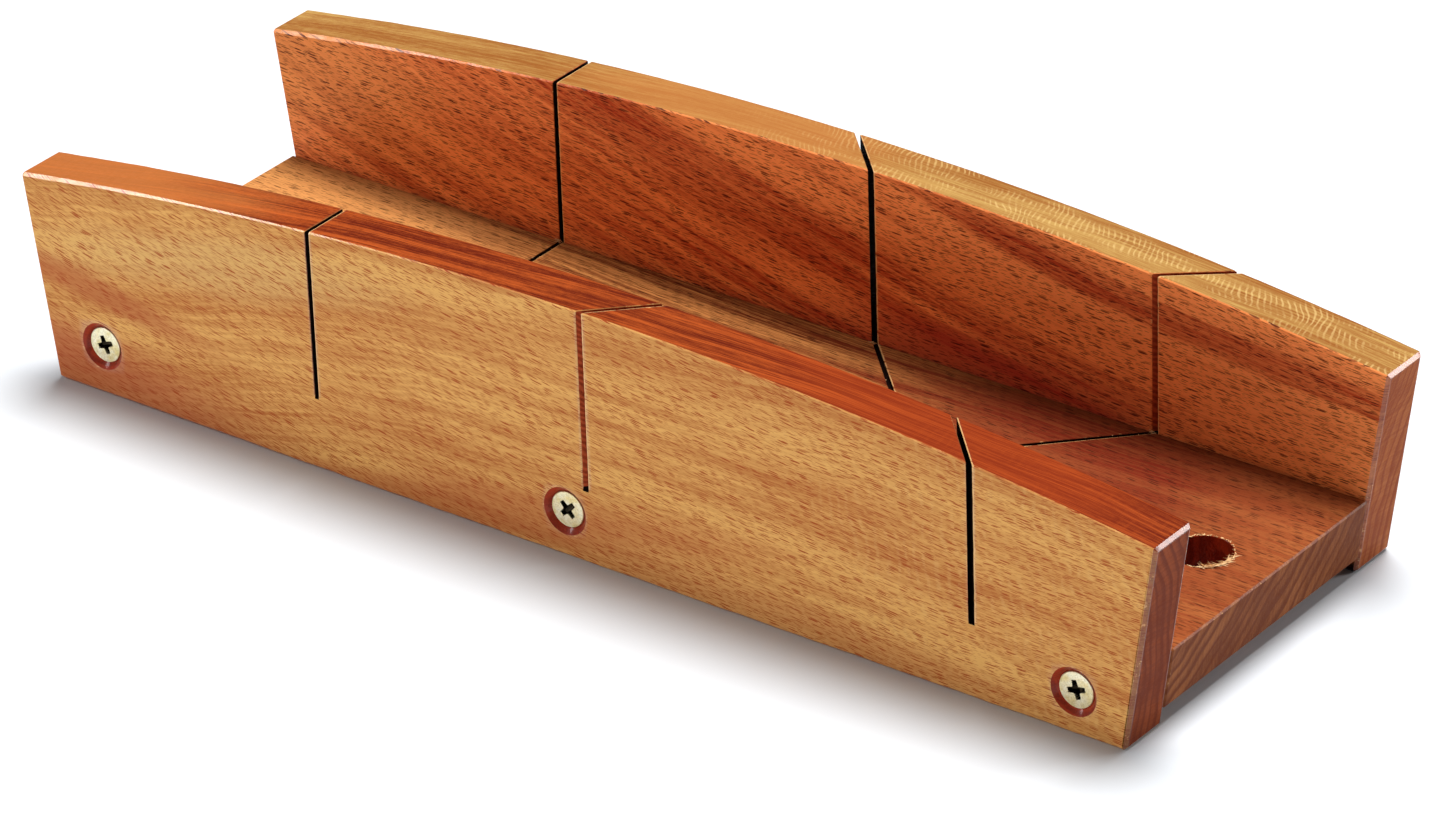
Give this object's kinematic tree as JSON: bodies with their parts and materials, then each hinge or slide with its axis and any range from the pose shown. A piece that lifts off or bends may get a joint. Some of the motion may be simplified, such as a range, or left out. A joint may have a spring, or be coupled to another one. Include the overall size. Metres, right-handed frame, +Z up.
{
  "type": "mitre box",
  "caption": "Wooden mitre box: arched walls screwed to a raised bed, with square and crossing diagonal saw kerfs.",
  "frame": {"origin": "middle of the box on the surface it stands on", "axes": "+X along the box towards the end with the crossing mitre kerfs, +Y across it from the front wall to the back wall, +Z up"},
  "size_m": [0.2994, 0.099, 0.0603],
  "materials": {
    "beech_front": "satin lacquer",
    "beech_back": "satin lacquer",
    "beech_bed": "satin lacquer",
    "screw_steel": "yellow zinc plated"
  },
  "bodies": {
    "root": {"base_board": "beech_bed", "front_wall": "beech_front", "back_wall": "beech_back", "front_screw_left": "screw_steel", "front_screw_middle": "screw_steel", "front_screw_right": "screw_steel", "back_screw_left": "screw_steel", "back_screw_middle": "screw_steel", "back_screw_right": "screw_steel"}
  },
  "joints": []
}
